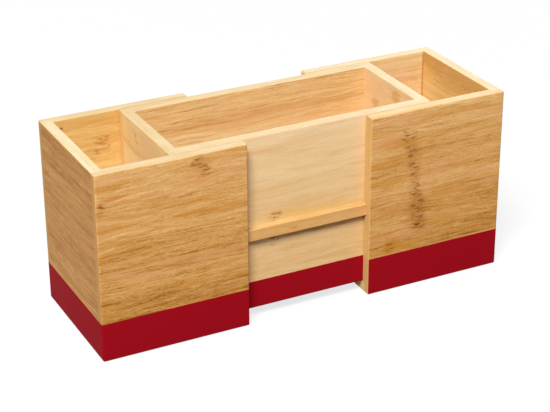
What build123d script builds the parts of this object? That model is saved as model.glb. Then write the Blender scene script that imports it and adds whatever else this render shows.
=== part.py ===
from build123d import *

import os

# An extending utensil caddy of bamboo board, open on top, with three compartments.
# Two sleeves, each a box without its inner end, draw out to the left and to the right
# over a middle box, whose two end walls divide the compartments.  A rail on the front
# and on the back of the middle box runs in grooves in the sleeve walls and carries the
# middle box clear of the sleeve floors.  A dowel in each sleeve floor runs in a blind
# slot under the middle box and stops the sleeve at both ends of its travel.
#
# Millimetres.  The origin is the bottom centre of the caddy drawn right out.  +X runs
# along it to the right, +Y from its front to its back, and +Z up.

# The sleeves.
sleeve_length = 115.0  # end face to open end
depth = 110.0  # over the front and back boards
height = 145.0  # ground to top edge, level on all three boxes
board = 8.5  # thickness of every wall
sleeve_floor = 7.5  # thickness of a sleeve's floor

# The slide.  The caddy is modelled drawn right out.
travel = 49.8  # of one sleeve
shut_gap = 0.4  # between the open ends of the sleeves, pushed right in

# The middle box.
middle_floor = 7.5  # thickness of its floor
side_clearance = 0.5  # to each sleeve wall
floor_clearance = 0.5  # to the sleeve floors
end_clearance = 1.2  # to the end boards, pushed right in

# The rebates that the end walls and floors are glued into.
end_rebate = 3.0
floor_rebate = 3.0

# The rails, and the grooves that they run in.
rail_level = 65.0  # ground to the underside of a rail
rail_height = 9.7
rail_projection = 4.0  # from the face of its panel
rail_seat = 2.0  # let into its panel
groove_clearance = 0.3  # round a rail in its groove

# The stop dowels, and the slots that they run in.
dowel_diameter = 6.0
dowel_inset = 25.0  # from a sleeve's open end
dowel_recess = 0.3  # above the underside of the sleeve
dowel_chamfer = 0.5
slot_depth = 4.0
slot_clearance = 0.3  # to each side and end of a dowel
slot_headroom = 0.4  # over a dowel

# Edges eased after gluing.
corner_round = 1.5  # upright corners of the end faces
edge_round = 0.9  # other outer edges
rim_round = 0.4  # edges of the rims that slide past each other or bound a compartment
rail_round = 0.8

# What follows from them.
half_gap = shut_gap / 2 + travel  # middle of the caddy to a sleeve's open end
half_length = half_gap + sleeve_length
sleeve_inside = depth / 2 - board  # middle of the caddy to a sleeve wall
middle_bottom = sleeve_floor + floor_clearance
middle_half_depth = sleeve_inside - side_clearance
middle_half_length = sleeve_length - board - end_clearance + shut_gap / 2
middle_inside = middle_half_depth - board
rail_front = middle_half_depth + rail_projection
dowel_place = half_gap + dowel_inset  # middle of the caddy to a dowel


def block(low, high):
    """A box from its lowest corner to its highest corner."""
    size = Vector(*high) - Vector(*low)
    return Pos(*low) * Box(size.X, size.Y, size.Z, align=Align.MIN)


def bar(x_range, half_width, z_range):
    """A box across the middle of the caddy, as wide to the front as to the back."""
    low = (x_range[0], -half_width, z_range[0])
    high = (x_range[1], half_width, z_range[1])
    return block(low, high)


def wall(x_range, near, far, z_range):
    """A box that stands in front of the middle of the caddy, from near to far off it."""
    return block((x_range[0], -far, z_range[0]), (x_range[1], -near, z_range[1]))


def to_back(piece):
    """The same piece on the back of the caddy."""
    return mirror(piece, about=Plane.XZ)


def to_right(piece):
    """The same piece on the right of the caddy."""
    return mirror(piece, about=Plane.YZ)


def sleeve_form():
    """The left sleeve as it is once glued up and sanded, in one."""
    ends = (-half_length, -half_gap)
    inside = (ends[0] + board, ends[1])
    form = bar(ends, depth / 2, (0, height))
    form = fillet(form.edges().filter_by(Axis.Z).group_by(Axis.X)[0], corner_round)
    outer = form.faces().sort_by(Axis.Z)[-1].edges()
    outer += form.faces().sort_by(Axis.Z)[0].edges()
    outer += form.edges().filter_by(Axis.Z).group_by(Axis.X)[-1]
    form = fillet(outer, edge_round)
    form -= bar(inside, sleeve_inside, (sleeve_floor, height))
    rim = form.edges().filter_by_position(Axis.Z, height, height)
    rim = rim.filter_by_position(Axis.Y, -sleeve_inside, sleeve_inside)
    return fillet(rim.filter_by_position(Axis.X, *inside), rim_round)


def groove():
    """What the front rail needs to run in, the whole length of a left sleeve wall."""
    ends = (board - half_length, -half_gap)
    levels = (rail_level - groove_clearance, rail_level + rail_height + groove_clearance)
    return wall(ends, sleeve_inside, rail_front + groove_clearance, levels)


def stop_dowel():
    """The dowel of the left sleeve, driven up through its floor."""
    top = middle_bottom + slot_depth - slot_headroom
    dowel = Cylinder(dowel_diameter / 2, top - dowel_recess)
    dowel = chamfer(dowel.edges().sort_by(Axis.Z)[-1], dowel_chamfer)
    return Pos(-dowel_place, 0, (top + dowel_recess) / 2) * dowel


def dowel_hole():
    """The hole for the dowel of the left sleeve, right through its floor."""
    hole = Cylinder(dowel_diameter / 2, sleeve_floor)
    return Pos(-dowel_place, 0, sleeve_floor / 2) * hole


def left_sleeve():
    """The boards of the left sleeve, each cut from the glued-up form, and its dowel."""
    form = sleeve_form()
    reach = (-half_length, -half_gap)
    floor_ends = (board - floor_rebate - half_length, -half_gap)
    end_ends = (-half_length, board - half_length)
    floor_room = bar(floor_ends, sleeve_inside + floor_rebate, (0, sleeve_floor))
    end_room = bar(end_ends, sleeve_inside + end_rebate, (0, height)) - floor_room
    front_room = wall(reach, sleeve_inside, depth / 2, (0, height))
    front = (form & front_room) - floor_room - end_room - groove()
    return {
        "front_board": front,
        "back_board": to_back(front),
        "end_board": form & end_room,
        "floor_board": (form & floor_room) - dowel_hole(),
        "stop_dowel": stop_dowel(),
    }


def middle_form():
    """The middle box as it is once glued up and sanded, in one, without its rails."""
    length = (-middle_half_length, middle_half_length)
    inside = (board - middle_half_length, middle_half_length - board)
    form = bar(length, middle_half_depth, (middle_bottom, height))
    outer = form.edges().filter_by(Axis.Z) + form.faces().sort_by(Axis.Z)[0].edges()
    form = fillet(outer, edge_round)
    form -= bar(inside, middle_inside, (middle_bottom + middle_floor, height))
    return fillet(form.faces().sort_by(Axis.Z)[-1].edges(), rim_round)


def rail_room():
    """The front rail with its edges square, which is also the dado in the panel."""
    length = (-middle_half_length, middle_half_length)
    levels = (rail_level, rail_level + rail_height)
    return wall(length, middle_half_depth - rail_seat, rail_front, levels)


def slide_rail():
    """The front rail, with its two outer edges eased."""
    rail = rail_room()
    return fillet(rail.edges().filter_by(Axis.X).group_by(Axis.Y)[0], rail_round)


def stop_slot():
    """The blind slot of the left sleeve's dowel, up from under the middle box."""
    outline = SlotCenterToCenter(travel, dowel_diameter + 2 * slot_clearance)
    return Pos(travel / 2 - dowel_place, 0, middle_bottom) * extrude(outline, slot_depth)


def middle_box():
    """The boards of the middle box, each cut from the glued-up form, and its rails."""
    form = middle_form()
    length = (-middle_half_length, middle_half_length)
    left_end = (-middle_half_length, board - middle_half_length)
    levels = (middle_bottom, height)
    floor_levels = (middle_bottom, middle_bottom + middle_floor)
    floor_room = bar(length, middle_inside + floor_rebate, floor_levels)
    divider_room = bar(left_end, middle_inside + end_rebate, levels) - floor_room
    front_room = wall(length, middle_inside, middle_half_depth, levels)
    front = (form & front_room) - floor_room - divider_room - to_right(divider_room)
    front -= rail_room()
    floor_board = (form & floor_room) - stop_slot() - to_right(stop_slot())
    divider = form & divider_room
    return {
        "middle_front_panel": front,
        "middle_back_panel": to_back(front),
        "middle_left_divider": divider,
        "middle_right_divider": to_right(divider),
        "middle_floor": floor_board,
        "front_slide_rail": slide_rail(),
        "back_slide_rail": to_back(slide_rail()),
    }


def caddy():
    """Every piece of the caddy by its name."""
    pieces = middle_box()
    for name, piece in left_sleeve().items():
        pieces["left_" + name] = piece
        pieces["right_" + name] = to_right(piece)
    return pieces


os.makedirs("parts", exist_ok=True)
for name, piece in caddy().items():
    export_step(piece, f"parts/{name}.step")
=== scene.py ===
import math
from collections import namedtuple

import bmesh
import bpy
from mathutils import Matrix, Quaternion, Vector


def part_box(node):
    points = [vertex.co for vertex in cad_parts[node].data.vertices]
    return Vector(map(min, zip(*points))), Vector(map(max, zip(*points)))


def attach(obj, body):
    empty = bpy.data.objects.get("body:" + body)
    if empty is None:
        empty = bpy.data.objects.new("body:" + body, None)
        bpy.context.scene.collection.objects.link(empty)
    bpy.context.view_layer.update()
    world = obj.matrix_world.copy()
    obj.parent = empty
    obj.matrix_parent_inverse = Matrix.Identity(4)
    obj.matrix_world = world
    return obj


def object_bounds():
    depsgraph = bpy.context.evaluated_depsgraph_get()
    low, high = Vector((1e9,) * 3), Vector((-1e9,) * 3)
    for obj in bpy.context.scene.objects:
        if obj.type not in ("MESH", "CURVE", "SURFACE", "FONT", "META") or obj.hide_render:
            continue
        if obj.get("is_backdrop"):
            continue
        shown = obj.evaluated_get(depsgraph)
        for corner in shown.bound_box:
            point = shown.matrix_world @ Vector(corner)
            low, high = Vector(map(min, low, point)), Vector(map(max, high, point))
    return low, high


# The looks of an extending caddy of bamboo board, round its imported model.  The boards,
# rails and dowels are the model's own nodes, and get their grain here.  The painted
# band round the foot is four thin films, which ride on the bodies that they are on.
#
# Metres and degrees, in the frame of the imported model, unless a comment says otherwise.
# +X runs along the caddy to the right, +Y from its front to its back, and +Z up.

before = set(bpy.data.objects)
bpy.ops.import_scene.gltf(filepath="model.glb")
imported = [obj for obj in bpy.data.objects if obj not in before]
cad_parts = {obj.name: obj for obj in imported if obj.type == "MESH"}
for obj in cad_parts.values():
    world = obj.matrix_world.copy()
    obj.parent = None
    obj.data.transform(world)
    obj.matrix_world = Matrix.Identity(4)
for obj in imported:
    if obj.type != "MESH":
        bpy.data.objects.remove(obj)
cad_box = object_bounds()

MM = 0.001

# The camera of the photograph.
CAMERA_AZIMUTH = -26.79  # to the left of straight on
CAMERA_ELEVATION = 25.69
CAMERA_ROLL = -0.33
CAMERA_AIM = Vector((-0.0025, -0.0031, 0.0645))
CAMERA_DISTANCE = 1.2514  # to the aim
CAMERA_LENS = 108.36  # millimetres, as the next
SENSOR_WIDTH = 36.0

# The painted band.
PAINT_TOP = 30.0 * MM
PAINT_THICKNESS = 0.08 * MM  # proud of the board
PAINT_ROOT = 0.02 * MM  # into the board
PAINT_WRAP = 50.0  # round an eased edge
SHARP_ANGLE = 40.0  # an edge of the film that is sharper isn't shaded smooth

# The eased edges of the boards.
CORNER_ROUND = 1.5 * MM
EDGE_ROUND = 0.9 * MM
ARC_STEPS = 8

# The studio.  A lamp of level 1 lights a surface that faces it as it is written.
Lamp = namedtuple("Lamp", "azimuth elevation size level")
LAMPS = {
    "key": Lamp(-38.0, 55.0, 1.45, 1.55),
    "fill": Lamp(140.0, 15.0, 1.8, 0.5),
}
LAMP_DISTANCE = 4.0
WORLD_STRENGTH = 0.24
WHITE = (1.0, 1.0, 1.0, 1.0)
FLOOR_HALF = 6.0
FLOOR_LEVEL = -0.2 * MM  # just clear of the caddy's underside
FLOOR_SHADE = 0.18  # of its light that the floor sends back
FLOOR_LIFT = 0.75  # what it shines to the camera besides, so that it shows white
FLOOR_REACH = (500.0, 2500.0)  # millimetres from the middle, where that grows up to 1


# ---------------------------------------------------------------- shader nodes


class Shader:
    """A node tree under way, with a short call for each kind of node.  What the calls
    take and give is sockets, or else plain values."""

    # A mix node has sockets for each type of data.  These are the ones for colours.
    MIX_INPUTS = (0, 6, 7)
    MIX_OUTPUT = 2

    def __init__(self, owner):
        """The owner is a new material or world."""
        self.owner = owner
        owner.use_nodes = True
        self.tree = owner.node_tree
        self.tree.nodes.clear()

    def node(self, kind, inputs, **settings):
        node = self.tree.nodes.new(kind)
        for name, value in settings.items():
            setattr(node, name, value)
        for name, value in inputs.items():
            self.plug(node.inputs[name], value)
        return node

    def plug(self, socket, value):
        if isinstance(value, bpy.types.NodeSocket):
            self.tree.links.new(value, socket)
        else:
            socket.default_value = value

    def math(self, operation, *values):
        inputs = dict(enumerate(values))
        return self.node("ShaderNodeMath", inputs, operation=operation).outputs[0]

    def add(self, a, b):
        return self.math("ADD", a, b)

    def minus(self, a, b):
        return self.math("SUBTRACT", a, b)

    def times(self, a, b):
        return self.math("MULTIPLY", a, b)

    def over(self, a, b):
        return self.math("DIVIDE", a, b)

    def absolute(self, a):
        return self.math("ABSOLUTE", a)

    def remap(self, value, low, high, to_low=0.0, to_high=1.0, smooth=True):
        """From one range to another, and held at its ends."""
        inputs = {0: value, 1: low, 2: high, 3: to_low, 4: to_high}
        kind = "SMOOTHSTEP" if smooth else "LINEAR"
        node = self.node("ShaderNodeMapRange", inputs, interpolation_type=kind)
        return node.outputs[0]

    def place(self):
        """Where a point is on the object, in millimetres."""
        place = self.node("ShaderNodeTexCoord", {}).outputs["Object"]
        inputs = {0: place, "Scale": 1 / MM}
        return self.node("ShaderNodeVectorMath", inputs, operation="SCALE").outputs[0]

    def facing(self):
        """The way that a point of the object faces."""
        return self.node("ShaderNodeTexCoord", {}).outputs["Normal"]

    def parts(self, vector):
        return self.node("ShaderNodeSeparateXYZ", {0: vector}).outputs

    def vector(self, x, y, z):
        return self.node("ShaderNodeCombineXYZ", {0: x, 1: y, 2: z}).outputs[0]

    def length(self, vector):
        node = self.node("ShaderNodeVectorMath", {0: vector}, operation="LENGTH")
        return node.outputs["Value"]

    def noise(self, place, detail=2.0):
        inputs = {"Vector": place, "Scale": 1.0, "Detail": detail}
        return self.node("ShaderNodeTexNoise", inputs).outputs["Fac"]

    def random(self, value):
        """A random number from 0 to 1, the same for the same value."""
        node = self.node("ShaderNodeTexWhiteNoise", {"W": value}, noise_dimensions="1D")
        return node.outputs["Value"]

    def mix(self, factor, a, b):
        """Colour a where the factor is 0, and b where it is 1."""
        node = self.node("ShaderNodeMix", {}, data_type="RGBA")
        for index, value in zip(self.MIX_INPUTS, (factor, a, b)):
            self.plug(node.inputs[index], value)
        return node.outputs[self.MIX_OUTPUT]

    def ramp(self, factor, colours):
        """Colours spread evenly over a factor from 0 to 1."""
        node = self.node("ShaderNodeValToRGB", {0: factor})
        elements = node.color_ramp.elements
        while len(elements) < len(colours):
            elements.new(1.0)
        for index, colour in enumerate(colours):
            elements[index].position = index / (len(colours) - 1)
            elements[index].color = colour
        return node.outputs[0]

    def finish(self, surface):
        self.node("ShaderNodeOutputMaterial", {"Surface": surface})
        return self.owner


def new_material(name):
    return Shader(bpy.data.materials.new(name))


def srgb(red, green, blue):
    """A colour as a picture shows it, 0 to 255, for a shader."""
    linear = [((c / 255 + 0.055) / 1.055) ** 2.4 for c in (red, green, blue)]
    return (*linear, 1.0)


# ---------------------------------------------------------------- bamboo

# All lengths in the grain and its marks are in millimetres.

# The colours of a board's faces, from its darkest streak to its lightest.
SLEEVE_TONES = (
    srgb(154, 95, 34),
    srgb(190, 133, 62),
    srgb(212, 157, 90),
    srgb(224, 174, 110),
    srgb(238, 195, 134),
)
PANEL_TONES = (
    srgb(194, 138, 70),
    srgb(218, 171, 107),
    srgb(230, 191, 136),
    srgb(237, 202, 153),
    srgb(243, 213, 172),
)
INSIDE_TONES = (
    srgb(186, 134, 76),
    srgb(212, 168, 108),
    srgb(229, 192, 134),
    srgb(238, 206, 154),
    srgb(246, 220, 176),
)
GOLDEN_TONES = (
    srgb(184, 130, 58),
    srgb(213, 166, 94),
    srgb(232, 191, 119),
    srgb(241, 206, 139),
    srgb(248, 219, 159),
)

# The colours of its sanded edges: the rims, the open ends and the closed ends.
RIM = (srgb(181, 150, 101), srgb(195, 170, 126), srgb(205, 186, 149))
CREAM_RIM = (srgb(192, 168, 123), srgb(200, 183, 143), srgb(211, 198, 166))
GOLDEN_RIM = (srgb(181, 140, 80), srgb(195, 160, 104), srgb(203, 175, 124))
OPEN_END = (srgb(198, 150, 86), srgb(216, 173, 108), srgb(226, 188, 126))
PALE_END = (srgb(216, 170, 100), srgb(236, 196, 124), srgb(242, 208, 142))
CLOSED_END = (srgb(184, 130, 70), srgb(200, 147, 84), srgb(212, 162, 100))

# The colours of its clouds and marks.
BROWN = srgb(134, 70, 4)
UMBER = srgb(178, 110, 40)
OCHRE = srgb(200, 134, 46)
ORANGE = srgb(204, 122, 56)
PEACH = srgb(224, 162, 110)
YELLOW = srgb(226, 180, 98)
ROSE = srgb(240, 192, 150)
TOFFEE = srgb(196, 136, 66)
# Painted shade: the dark line on a rim for the shade in the gap along a seam.
GAP_SHADE = srgb(112, 92, 62)

# The directions of a board: along its grain, across it on its face, and through it.
WALL_LONG = ("x", "z", "y")
WALL_ACROSS = ("y", "z", "x")
FLAT_LONG = ("x", "y", "z")
UPRIGHT = ("z", "x", "y")

# How a board looks.  Each reach is in tones, where 1 is the whole of its colours.
Look = namedtuple(
    "Look",
    "outer inner rim cut band streak line fleck fibre strip wave lean level drop ochre peach",
)
SLEEVE = Look(
    outer=SLEEVE_TONES,
    inner=INSIDE_TONES,
    rim=RIM,
    cut=OPEN_END,
    band=0.56,  # reach of the broad bands
    streak=0.60,  # of the long streaks
    line=0.25,  # of the fine dark lines
    fleck=0.70,  # of the short flecks
    fibre=0.80,  # of the finest fibres
    strip=0.08,  # from strip to strip
    wave=1.0,  # how far the grain wanders, as a share of its most
    # Painted shade: the lean makes a face lighter towards its top and darker towards its bottom.
    lean=0.0034,  # tone gained with each millimetre of height
    level=0.48,  # tone halfway up
    drop=0.0,  # tone lost on its outer face
    ochre=0.55,  # strength of the ochre clouds
    peach=0.55,  # of the peach clouds
)
GOLDEN_SLEEVE = SLEEVE._replace(rim=GOLDEN_RIM)
END = SLEEVE._replace(
    rim=CREAM_RIM,
    band=0.44,
    streak=0.46,
    line=0.12,
    fleck=0.44,
    fibre=0.50,
    lean=-0.0005,
    level=0.31,
    ochre=0.3,
    peach=0.3,
)
PANEL = SLEEVE._replace(
    outer=PANEL_TONES,
    cut=PALE_END,
    band=0.40,
    streak=0.22,
    line=0.06,
    fleck=0.26,
    fibre=0.30,
    strip=0.12,
    wave=0.6,
    level=0.54,
    ochre=0.2,
    peach=0.2,
)
RAIL = PANEL._replace(outer=SLEEVE_TONES, rim=GOLDEN_RIM, lean=0.0, level=0.60)
INSIDE = PANEL._replace(
    band=0.36,
    streak=0.46,
    line=0.34,
    fleck=0.30,
    fibre=0.36,
    strip=0.35,
    lean=0.0,
    level=0.55,
)
BACK = INSIDE._replace(outer=SLEEVE_TONES, line=0.20, level=0.56, drop=0.10)
GOLDEN = BACK._replace(
    inner=GOLDEN_TONES,
    streak=0.36,
    line=0.14,
    strip=0.15,
    level=0.50,
    drop=0.04,
)
LIGHT_GOLDEN = GOLDEN._replace(level=0.52, drop=0.18)
CALM = INSIDE._replace(
    outer=INSIDE_TONES,
    streak=0.24,
    line=0.06,
    fleck=0.28,
    strip=0.2,
    level=0.60,
)
LIGHT_CALM = CALM._replace(outer=GOLDEN_TONES, level=0.90)
PLAIN = CALM._replace(strip=0.0)

# What is true of every board.
HALFWAY_UP = 72.0
STRIP_WIDTH = 15.2  # of the bamboo strips that a board is glued from
CLOSED_FROM = 150.0  # a cut end further than this from the middle is closed
OUTSIDE_FROM = 10.0  # a face looks out that is at least this far out from the middle
NEAR_SIDE = (-0.2, -0.8)  # how its near face faces, from where on and up to where in full
ON_RIM = (0.45, 0.90)  # the same for a rim
ON_END = (0.60, 0.95)  # and for a cut end
ROUGHNESS = (0.54, 0.46)  # of its darkest and its lightest tone
RELIEF_DEPTH = 0.12 * MM
RELIEF_STRENGTH = 0.7
BOARD_SPECULAR = 0.12

# A line of knuckles from its low to its high point, a patch of another colour, and the
# dark line of painted shade on a rim, for the gap where another box lies against it, so far
# off the middle in y.
Knuckles = namedtuple("Knuckles", "low high half_width colour dark")
Patch = namedtuple("Patch", "centre reach colour strength")
Seam = namedtuple("Seam", "off_middle width half_length strength")


class Grain:
    """The pattern of one board: noise that is stretched along its grain.  Each size of
    noise is its length along the grain and its width across it."""

    SALTS = (211.0, 13.7, 31.1, 17.3)  # by seed, length and width, and for the strips

    SLOW_WAVE = ((75.0, 24.0), 9.0)  # noise and its swing, as the next
    QUICK_WAVE = ((22.0, 7.0), 1.6)

    BANDS = (170.0, 11.0)
    STREAKS = (60.0, 3.4)
    SHORT_STREAKS = (28.0, 1.7)
    SHORT_STREAK_SHARE = 0.9  # of the reach of the long ones
    FLECKS = (9.0, 1.1)
    FIBRES = (2.2, 0.6)
    LINES = (40.0, 1.0)
    LINE_RISE = (0.54, 0.68)  # of the noise, from where on and up to where it shows

    OCHRE_CLOUDS = (60.0, 5.0)
    PEACH_CLOUDS = (90.0, 8.0)
    CLOUD_RAGS = ((16.0, 1.5), 0.3)
    CLOUD_RISE = (0.52, 0.68)

    PATCH_RAGS = ((14.0, 1.4), 2.0)
    PATCH_RISE = (1.0, 0.2)  # as shares of its reach, squared

    SOFT_SHARE = 0.3  # of the half width of a line, up to where it shows in full
    KNUCKLE_RAGS = ((60.0, 5.0), 12.0)
    KNUCKLE_ENDS = (2.0, 1.0)  # how far past its end a line fades out, and from where inside
    DASHES = (6.0, 1.6)
    DASH_RISE = (0.50, 0.60)
    GAP_SHARE = 0.15  # of the darkness, between the dashes
    BOW = 0.04  # how far down a dash bows, by the square of how far off the line it is

    SEAM_FADE = 4.0  # at each end
    SEAM_BREAKS = (30.0, 9.0)
    SEAM_RISE = (0.3, 0.5)
    SEAM_LEAST = 0.4

    RIM_LINES = ((60.0, 1.4), 0.6)
    RIM_CLOUDS = ((24.0, 7.0), 1.0)
    SPECKLE_SWING = 0.9

    def __init__(self, shader, directions, seed, wave):
        self.shader = shader
        self.seed = seed
        place = shader.parts(shader.place())
        facing = shader.parts(shader.facing())
        self.u, self.v, self.w = (place["xyz".index(axis)] for axis in directions)
        self.along, self.across, self.through = (facing["xyz".index(a)] for a in directions)
        self.waved = self.v
        for size, reach in (self.SLOW_WAVE, self.QUICK_WAVE):
            bend = self.swing(self.noise(size, self.v), reach * wave)
            self.waved = shader.add(self.waved, bend)

    def noise(self, size, across):
        """Noise of one size.  Each size has its own pattern, and so has each board."""
        shader = self.shader
        length, width = size
        by_seed, by_length, by_width, _ = self.SALTS
        salt = by_seed * self.seed + by_length * length + by_width * width
        x = shader.over(shader.add(self.u, salt), length)
        y = shader.over(across, width)
        z = shader.over(shader.add(self.w, salt), width)
        return shader.noise(shader.vector(x, y, z))

    def swing(self, value, reach):
        """A value from 0 to 1, as a swing to both sides of 0."""
        return self.shader.times(self.shader.minus(value, 0.5), reach)

    def strip(self):
        """A random number for each strip of the board."""
        shader = self.shader
        count = shader.math("FLOOR", shader.over(self.v, STRIP_WIDTH))
        return shader.random(shader.add(count, self.SALTS[-1] * self.seed))

    def tone(self, look):
        """How light the board's face is, about from 0 to 1."""
        shader = self.shader
        # Painted shade: the tone rises with height by the lean, darker towards the bottom.
        gain = shader.times(shader.minus(self.v, HALFWAY_UP), look.lean)
        tone = shader.add(gain, look.level)
        layers = (
            (self.noise(self.BANDS, self.waved), look.band),
            (self.noise(self.STREAKS, self.waved), look.streak),
            (self.noise(self.SHORT_STREAKS, self.waved), look.streak * self.SHORT_STREAK_SHARE),
            (self.noise(self.FLECKS, self.waved), look.fleck),
            (self.noise(self.FIBRES, self.waved), look.fibre),
            (self.strip(), look.strip),
        )
        for layer, reach in layers:
            tone = shader.add(tone, self.swing(layer, reach))
        line = shader.remap(self.noise(self.LINES, self.waved), *self.LINE_RISE)
        return shader.minus(tone, shader.times(line, look.line))

    def cloud(self, size, strength):
        """Where the board has a cloud of another colour, ragged along its grain."""
        rag_size, rag_reach = self.CLOUD_RAGS
        ragged = self.swing(self.noise(rag_size, self.waved), rag_reach)
        cloud = self.shader.add(self.noise(size, self.waved), ragged)
        return self.shader.remap(cloud, *self.CLOUD_RISE, 0.0, strength)

    def patch(self, patch):
        """Where a patch of another colour lies, from 0 to 1."""
        shader = self.shader
        (u, v), (reach_u, reach_v) = patch.centre, patch.reach
        off_u = shader.over(shader.minus(self.u, u), reach_u)
        off_v = shader.over(shader.minus(self.waved, v), reach_v)
        far = shader.add(shader.times(off_u, off_u), shader.times(off_v, off_v))
        rag_size, rag_reach = self.PATCH_RAGS
        ragged = self.swing(self.noise(rag_size, self.waved), rag_reach)
        return shader.remap(shader.add(far, ragged), *self.PATCH_RISE, 0.0, patch.strength)

    def knuckles(self, line):
        """How dark a line of knuckles is, from 0 to 1: short dashes, which bow down."""
        shader = self.shader
        (low_u, low_v), (high_u, high_v) = line.low, line.high
        centre = shader.remap(self.v, low_v, high_v, low_u, high_u, smooth=False)
        rag_size, rag_reach = self.KNUCKLE_RAGS
        ragged = self.swing(self.noise(rag_size, self.v), rag_reach)
        off = shader.absolute(shader.minus(shader.add(self.u, ragged), centre))
        beside = shader.remap(off, line.half_width, line.half_width * self.SOFT_SHARE)
        past, inside = self.KNUCKLE_ENDS
        between = shader.times(
            shader.remap(self.v, low_v - past, low_v + inside),
            shader.remap(self.v, high_v + past, high_v - inside),
        )
        bowed = shader.minus(self.v, shader.times(shader.times(off, off), self.BOW))
        dashes = shader.remap(self.noise(self.DASHES, bowed), *self.DASH_RISE)
        dashes = shader.add(shader.times(dashes, 1.0 - self.GAP_SHARE), self.GAP_SHARE)
        fade = shader.remap(self.v, low_v, high_v, *line.dark, smooth=False)
        dark = shader.times(dashes, fade)
        return shader.times(dark, shader.times(beside, between))

    def seam(self, seam):
        """How dark a seam's painted shade is, from 0 to 1."""
        shader = self.shader
        off = shader.minus(shader.absolute(self.w), seam.off_middle)
        beside = shader.remap(off, seam.width, seam.width * self.SOFT_SHARE)
        fade_from = seam.half_length - self.SEAM_FADE
        between = shader.remap(shader.absolute(self.u), seam.half_length, fade_from)
        broken = self.noise(self.SEAM_BREAKS, self.v)
        broken = shader.remap(broken, *self.SEAM_RISE, self.SEAM_LEAST, seam.strength)
        return shader.times(shader.times(beside, between), broken)

    def face_colour(self, tone, look, marks):
        """The colour of the board's faces, with the marks on its near one."""
        shader = self.shader
        inner = shader.ramp(tone, look.inner)
        outer = shader.ramp(shader.minus(tone, look.drop), look.outer)
        out = shader.times(self.through, self.w)
        outside = shader.remap(out, -OUTSIDE_FROM, OUTSIDE_FROM)
        colour = shader.mix(outside, inner, outer)
        colour = shader.mix(self.cloud(self.OCHRE_CLOUDS, look.ochre), colour, OCHRE)
        colour = shader.mix(self.cloud(self.PEACH_CLOUDS, look.peach), colour, PEACH)
        near_side = shader.remap(self.through, *NEAR_SIDE)
        for mark in marks:
            if isinstance(mark, Patch):
                where = self.patch(mark)
            elif isinstance(mark, Knuckles):
                where = self.knuckles(mark)
            else:
                continue
            colour = shader.mix(shader.times(where, near_side), colour, mark.colour)
        return colour

    def rim_colour(self, look, marks):
        """The colour of its rims, with the painted shade of the seams on them."""
        shader = self.shader
        tone = 0.5
        for size, reach in (self.RIM_LINES, self.RIM_CLOUDS):
            tone = shader.add(tone, self.swing(self.noise(size, self.v), reach))
        colour = shader.ramp(tone, look.rim)
        for mark in marks:
            if isinstance(mark, Seam):
                # Painted shade: the rim darkens along a seam, for the gap beside it in shade.
                colour = shader.mix(self.seam(mark), colour, GAP_SHADE)
        return colour

    def end_colour(self, look):
        """The colour of its cut ends."""
        shader = self.shader
        speckle = self.swing(shader.noise(shader.place()), self.SPECKLE_SWING)
        speckle = shader.add(0.5, speckle)
        closed = shader.remap(shader.absolute(self.u), CLOSED_FROM, CLOSED_FROM + 1.0)
        return shader.mix(closed, shader.ramp(speckle, look.cut), shader.ramp(speckle, CLOSED_END))


def bamboo(name, seed, directions, look, marks):
    """Bamboo board with its grain along one axis, and with paler rims and ends."""
    shader = new_material(name)
    grain = Grain(shader, directions, seed, look.wave)
    tone = grain.tone(look)
    colour = grain.face_colour(tone, look, marks)
    on_rim = shader.remap(shader.absolute(grain.across), *ON_RIM)
    colour = shader.mix(on_rim, colour, grain.rim_colour(look, marks))
    on_end = shader.remap(shader.absolute(grain.along), *ON_END)
    colour = shader.mix(on_end, colour, grain.end_colour(look))

    rough = shader.remap(tone, 0.0, 1.0, *ROUGHNESS, smooth=False)
    height = {"Height": tone, "Distance": RELIEF_DEPTH, "Strength": RELIEF_STRENGTH}
    relief = shader.node("ShaderNodeBump", height).outputs[0]
    surface = {"Base Color": colour, "Roughness": rough, "Normal": relief}
    bsdf = shader.node("ShaderNodeBsdfPrincipled", surface)
    bsdf.inputs["Specular IOR Level"].default_value = BOARD_SPECULAR
    return shader.finish(bsdf.outputs[0])


# Painted shade along the rims of the sleeves, where the middle box lies against them.
SEAM = Seam(46.5, 1.7, 106.0, 0.8)
FAINT_SEAM = SEAM._replace(strength=0.35)
LEFT_FRONT_MARKS = [
    FAINT_SEAM,
    Patch((-151.0, 127.0), (13.0, 1.8), ORANGE, 0.7),
    Patch((-92.0, 102.0), (22.0, 2.2), OCHRE, 0.8),
    Patch((-86.0, 136.0), (9.0, 8.0), UMBER, 0.25),
    Knuckles((-84.0, 128.0), (-85.0, 138.0), 5.5, BROWN, (0.8, 0.8)),
    Knuckles((-89.0, 137.0), (-86.0, 145.0), 5.0, BROWN, (0.7, 0.7)),
    Knuckles((-161.0, 114.0), (-161.5, 123.0), 3.5, BROWN, (0.9, 0.8)),
]
LEFT_BACK_MARKS = [
    FAINT_SEAM,
    Patch((-132.0, 141.0), (70.0, 9.0), TOFFEE, 0.3),
    Patch((-129.0, 117.0), (9.0, 1.3), BROWN, 0.3),
    Knuckles((-121.0, 113.0), (-117.0, 127.0), 8.0, BROWN, (0.5, 0.45)),
    Knuckles((-153.0, 129.0), (-152.5, 140.0), 5.0, BROWN, (0.9, 1.0)),
]
LEFT_DIVIDER_MARKS = [
    Patch((-12.0, 122.0), (26.0, 36.0), ROSE, 0.45),
    Knuckles((11.0, 127.0), (18.4, 138.5), 2.0, TOFFEE, (0.6, 0.8)),
]
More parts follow.
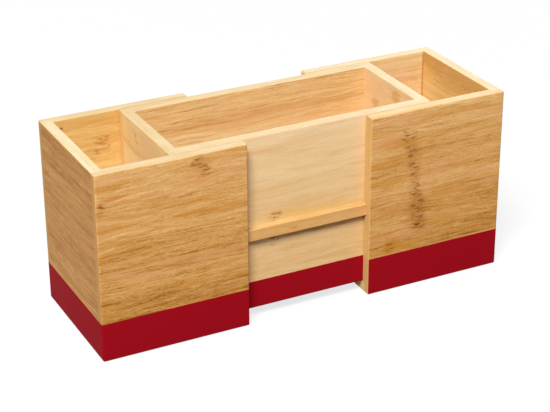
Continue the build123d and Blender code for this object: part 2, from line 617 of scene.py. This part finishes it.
RIGHT_FRONT_MARKS = [
    SEAM,
    Patch((110.0, 73.0), (19.0, 4.5), OCHRE, 0.5),
    Patch((114.0, 50.0), (22.0, 4.0), OCHRE, 0.45),
    Patch((70.0, 38.0), (10.0, 6.5), OCHRE, 0.6),
    Patch((92.0, 60.0), (11.0, 20.0), UMBER, 0.4),
    Patch((87.0, 100.0), (8.0, 30.0), UMBER, 0.2),
    Knuckles((93.0, 46.0), (90.0, 78.0), 8.0, BROWN, (1.0, 0.8)),
    Knuckles((90.0, 76.0), (85.0, 116.0), 4.5, BROWN, (0.8, 0.7)),
    Knuckles((85.0, 115.0), (82.0, 130.0), 8.0, BROWN, (0.6, 0.7)),
    Knuckles((68.0, 33.0), (70.0, 44.0), 7.0, BROWN, (0.7, 0.6)),
]
RIGHT_BACK_MARKS = [
    FAINT_SEAM,
    Patch((130.0, 118.0), (26.0, 30.0), ROSE, 0.4),
    Patch((156.3, 110.0), (1.6, 80.0), UMBER, 0.7),
]
RIGHT_END_MARKS = [Patch((0.0, 144.0), (200.0, 12.5), TOFFEE, 0.5)]
RIGHT_DIVIDER_MARKS = [
    Patch((20.0, 132.0), (20.0, 20.0), ROSE, 0.2),
    Patch((-10.0, 137.0), (8.0, 7.0), OCHRE, 0.45),
    Patch((20.0, 122.0), (7.0, 4.5), OCHRE, 0.4),
]
PANEL_MARKS = [
    Patch((0.0, 79.0), (60.0, 5.0), YELLOW, 0.6),
    # Painted shade under the rail: a brown band just below it.
    Patch((0.0, 63.5), (75.0, 4.5), TOFFEE, 0.8),
    Knuckles((-27.0, 75.0), (-24.0, 82.0), 7.0, UMBER, (0.9, 0.9)),
    Knuckles((-26.0, 57.0), (-25.0, 65.0), 6.0, UMBER, (0.7, 1.0)),
]
MIDDLE_BACK_MARKS = [Patch((0.0, 122.0), (120.0, 7.0), TOFFEE, 0.3)]
RAIL_MARKS = [Knuckles((-12.0, 67.0), (-11.0, 72.0), 4.0, ORANGE, (0.7, 0.7))]

BOARDS = {
    "left_front_board": (WALL_LONG, SLEEVE, LEFT_FRONT_MARKS),
    "right_front_board": (WALL_LONG, GOLDEN_SLEEVE, RIGHT_FRONT_MARKS),
    "left_back_board": (WALL_LONG, GOLDEN, LEFT_BACK_MARKS),
    "right_back_board": (WALL_LONG, BACK, RIGHT_BACK_MARKS),
    "left_end_board": (WALL_ACROSS, END, []),
    "right_end_board": (WALL_ACROSS, LIGHT_GOLDEN, RIGHT_END_MARKS),
    "left_floor_board": (FLAT_LONG, CALM, []),
    "right_floor_board": (FLAT_LONG, CALM, []),
    "middle_front_panel": (WALL_LONG, PANEL, PANEL_MARKS),
    "middle_back_panel": (WALL_LONG, INSIDE, MIDDLE_BACK_MARKS),
    "middle_left_divider": (WALL_ACROSS, LIGHT_CALM, LEFT_DIVIDER_MARKS),
    "middle_right_divider": (WALL_ACROSS, CALM, RIGHT_DIVIDER_MARKS),
    "middle_floor": (FLAT_LONG, CALM, []),
    "front_slide_rail": (WALL_LONG, RAIL, RAIL_MARKS),
    "back_slide_rail": (WALL_LONG, RAIL, []),
    "left_stop_dowel": (UPRIGHT, PLAIN, []),
    "right_stop_dowel": (UPRIGHT, PLAIN, []),
}


def dress_boards():
    """Every board gets its grain.  Its place in the list is the seed."""
    for seed, (name, settings) in enumerate(BOARDS.items(), start=1):
        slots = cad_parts[name].material_slots
        slots[0].material = bamboo(name + "_grain", seed, *settings)


# ---------------------------------------------------------------- painted band

PAINT_TONES = (srgb(150, 3, 20), srgb(158, 5, 24))
PAINT_DETAIL = 3.0
PAINT_RISE = (0.3, 0.7)  # of the noise, from its first tone to its second
PAINT_ROUGHNESS = 0.7
PAINT_SPECULAR = 0.08


def paint():
    """Matt red paint, faintly cloudy."""
    shader = new_material("matt_red_paint")
    cloud = shader.remap(shader.noise(shader.place(), PAINT_DETAIL), *PAINT_RISE)
    colour = shader.ramp(cloud, PAINT_TONES)
    bsdf = shader.node("ShaderNodeBsdfPrincipled", {"Base Color": colour})
    bsdf.inputs["Roughness"].default_value = PAINT_ROUGHNESS
    bsdf.inputs["Specular IOR Level"].default_value = PAINT_SPECULAR
    return shader.finish(bsdf.outputs[0])


def band_profile(foot, off_face):
    """One side of a film, down the face and round the eased bottom edge: pairs of the
    distance out from the face and the height."""
    points = [(off_face, PAINT_TOP)]
    radius = EDGE_ROUND + off_face
    for step in range(ARC_STEPS + 1):
        turn = math.radians(PAINT_WRAP) * step / ARC_STEPS
        out = radius * math.cos(turn) - EDGE_ROUND
        points.append((out, foot + EDGE_ROUND - radius * math.sin(turn)))
    return points


def add_band(name, body, path, foot, material):
    """A closed film along a path: pairs of a place and the direction out of the face."""
    outside = band_profile(foot, PAINT_THICKNESS)
    inside = band_profile(foot, -PAINT_ROOT)
    outline = outside + inside[::-1]
    last = len(outline) - 1
    mesh = bmesh.new()
    rings = []
    for place, out in path:
        rings.append([mesh.verts.new((*(place + out * far), level)) for far, level in outline])
    for near, far in zip(rings, rings[1:]):
        for i in range(len(outline)):
            mesh.faces.new((near[i - 1], near[i], far[i], far[i - 1]))
    for ring in (rings[0], rings[-1]):
        for i in range(len(outside) - 1):
            mesh.faces.new((ring[i], ring[i + 1], ring[last - 1 - i], ring[last - i]))
    bmesh.ops.recalc_face_normals(mesh, faces=mesh.faces)
    data = bpy.data.meshes.new(name)
    mesh.to_mesh(data)
    mesh.free()
    data.shade_smooth()
    data.set_sharp_from_angle(angle=math.radians(SHARP_ANGLE))
    data.materials.append(material)
    piece = bpy.data.objects.new(name, data)
    bpy.context.scene.collection.objects.link(piece)
    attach(piece, body)


def corner_path(centre, radius, sign, start, stop):
    """The path round an upright edge, whose turn is 0 where it faces forward."""
    path = []
    for step in range(ARC_STEPS + 1):
        turn = math.radians(start + (stop - start) * step / ARC_STEPS)
        out = Vector((sign * math.sin(turn), -math.cos(turn)))
        path.append((centre + out * radius, out))
    return path


def add_sleeve_band(side, material):
    """The film round three faces of a sleeve, from its open end to its open end."""
    low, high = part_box(side + "_front_board")
    sign = -1.0 if side == "left" else 1.0
    end, mouth = (low.x, high.x) if side == "left" else (high.x, low.x)
    centre = Vector((mouth + sign * EDGE_ROUND, low.y + EDGE_ROUND))
    path = corner_path(centre, EDGE_ROUND, sign, -PAINT_WRAP, 0.0)
    centre = Vector((end - sign * CORNER_ROUND, low.y + CORNER_ROUND))
    path += corner_path(centre, CORNER_ROUND, sign, 0.0, 90.0)
    back = [(Vector((place.x, -place.y)), Vector((out.x, -out.y))) for place, out in path]
    add_band(side + "_sleeve_band", side + "_sleeve", path + back[::-1], low.z, material)


def add_middle_band(side, material):
    """The film on the front or the back of the middle box."""
    low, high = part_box(f"middle_{side}_panel")
    face, sign = (low.y, -1.0) if side == "front" else (high.y, 1.0)
    ends = (low.x + EDGE_ROUND, high.x - EDGE_ROUND)
    path = [(Vector((x, face)), Vector((0.0, sign))) for x in ends]
    add_band(f"middle_{side}_band", "middle_box", path, low.z, material)


# ---------------------------------------------------------------- studio


def direction(azimuth, elevation):
    """From the caddy towards a camera or a lamp."""
    azimuth, elevation = math.radians(azimuth), math.radians(elevation)
    flat = math.cos(elevation)
    return Vector((math.sin(azimuth) * flat, -math.cos(azimuth) * flat, math.sin(elevation)))


def add_facing(name, data, back, distance, roll=0.0):
    """A camera or a lamp that looks at the caddy from a direction and a distance."""
    thing = bpy.data.objects.new(name, data)
    thing.location = CAMERA_AIM + back * distance
    thing.rotation_mode = "QUATERNION"
    turn = Quaternion((0, 0, 1), math.radians(roll))
    thing.rotation_quaternion = (-back).to_track_quat("-Z", "Y") @ turn
    bpy.context.scene.collection.objects.link(thing)
    return thing


def add_camera():
    data = bpy.data.cameras.new("camera")
    data.lens = CAMERA_LENS
    data.sensor_width = SENSOR_WIDTH
    back = direction(CAMERA_AZIMUTH, CAMERA_ELEVATION)
    camera = add_facing("camera", data, back, CAMERA_DISTANCE, CAMERA_ROLL)
    bpy.context.scene.camera = camera


def add_lamp(name, lamp):
    """A square soft box."""
    data = bpy.data.lights.new(name, "AREA")
    data.shape = "SQUARE"
    data.size = lamp.size
    data.energy = lamp.level * math.pi**2 * LAMP_DISTANCE**2
    add_facing(name, data, direction(lamp.azimuth, lamp.elevation), LAMP_DISTANCE)


def seen_directly(shader):
    """1 for a ray from the camera or off or through something shiny, or else 0."""
    path = shader.node("ShaderNodeLightPath", {}).outputs
    seen = shader.math("MAXIMUM", path["Is Camera Ray"], path["Is Glossy Ray"])
    return shader.math("MAXIMUM", seen, path["Is Transmission Ray"])


def add_world():
    """White to look at, and dimmer as a light."""
    world = bpy.data.worlds.new("studio")
    bpy.context.scene.world = world
    shader = Shader(world)
    level = shader.remap(seen_directly(shader), 0.0, 1.0, WORLD_STRENGTH, 1.0)
    background = shader.node("ShaderNodeBackground", {"Color": WHITE, "Strength": level})
    shader.node("ShaderNodeOutputWorld", {"Surface": background.outputs[0]})


def floor_material():
    """A pale floor that shows white, but for the caddy's shadow."""
    shader = new_material("pale_floor")
    shade = (FLOOR_SHADE, FLOOR_SHADE, FLOOR_SHADE, 1.0)
    diffuse = shader.node("ShaderNodeBsdfDiffuse", {"Color": shade})
    lift = shader.remap(shader.length(shader.place()), *FLOOR_REACH, FLOOR_LIFT, 1.0)
    strength = shader.times(seen_directly(shader), lift)
    glow = shader.node("ShaderNodeEmission", {"Strength": strength})
    both = shader.node("ShaderNodeAddShader", {0: diffuse.outputs[0], 1: glow.outputs[0]})
    return shader.finish(both.outputs[0])


def add_floor():
    mesh = bmesh.new()
    bmesh.ops.create_grid(mesh, x_segments=1, y_segments=1, size=FLOOR_HALF)
    data = bpy.data.meshes.new("floor")
    mesh.to_mesh(data)
    mesh.free()
    data.materials.append(floor_material())
    floor = bpy.data.objects.new("floor", data)
    floor.location.z = FLOOR_LEVEL
    bpy.context.scene.collection.objects.link(floor)
    floor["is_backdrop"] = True


dress_boards()
red = paint()
for side in ("left", "right"):
    add_sleeve_band(side, red)
for side in ("front", "back"):
    add_middle_band(side, red)

add_floor()
add_camera()
add_world()
for name, lamp in LAMPS.items():
    add_lamp(name, lamp)
bpy.context.scene.view_settings.view_transform = "Standard"

boxes = {"cad": cad_box, "visual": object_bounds()}
{name: [list(corner) for corner in box] for name, box in boxes.items()}
